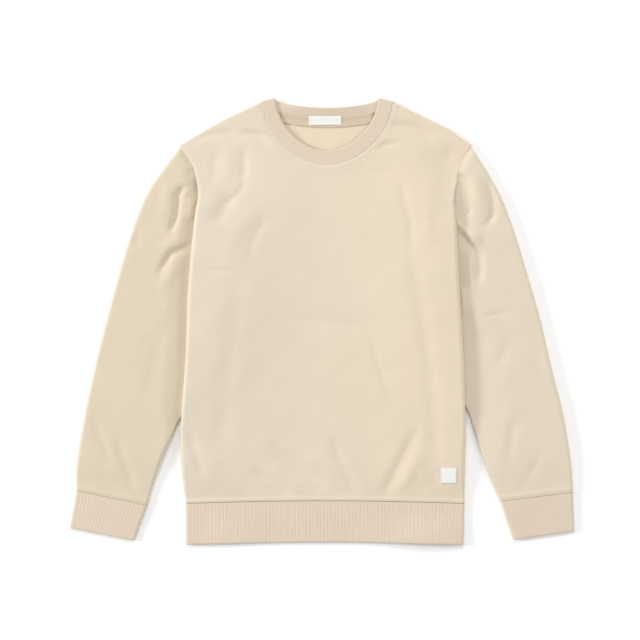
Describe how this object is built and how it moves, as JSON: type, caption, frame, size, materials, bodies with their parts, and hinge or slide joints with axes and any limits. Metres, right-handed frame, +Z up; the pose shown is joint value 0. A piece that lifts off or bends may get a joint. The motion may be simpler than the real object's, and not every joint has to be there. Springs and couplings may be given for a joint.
{
  "type": "crewneck sweatshirt",
  "caption": "Long-sleeved crewneck sweatshirt laid flat face up, with ribbed collar, cuffs and hem, its sleeves alongside the body and its sides tucked under.",
  "frame": {"origin": "centre of the bounding box in plan, on the floor that the garment lies on", "axes": "+X across the garment to its left sleeve as worn, on the right seen from above, +Y up the garment from hem to collar, +Z up from the floor"},
  "size_m": [0.768, 0.6801, 0.0204],
  "materials": {
    "fleece": "soft matt knitted sweatshirt cloth in oatmeal cream",
    "rib_knit": "soft matt rib knit, slightly darker than the cloth",
    "label_cloth": "smooth woven white label, blank"
  },
  "bodies": {
    "root": {"front_panel": "fleece", "back_panel": "fleece", "left_sleeve": "fleece", "right_sleeve": "fleece", "left_side_tuck": "fleece", "right_side_tuck": "fleece", "neck_tape": "fleece", "neck_rib": "rib_knit", "hem_rib": "rib_knit", "left_cuff": "rib_knit", "right_cuff": "rib_knit", "neck_label": "label_cloth", "hem_patch": "label_cloth"}
  },
  "joints": []
}
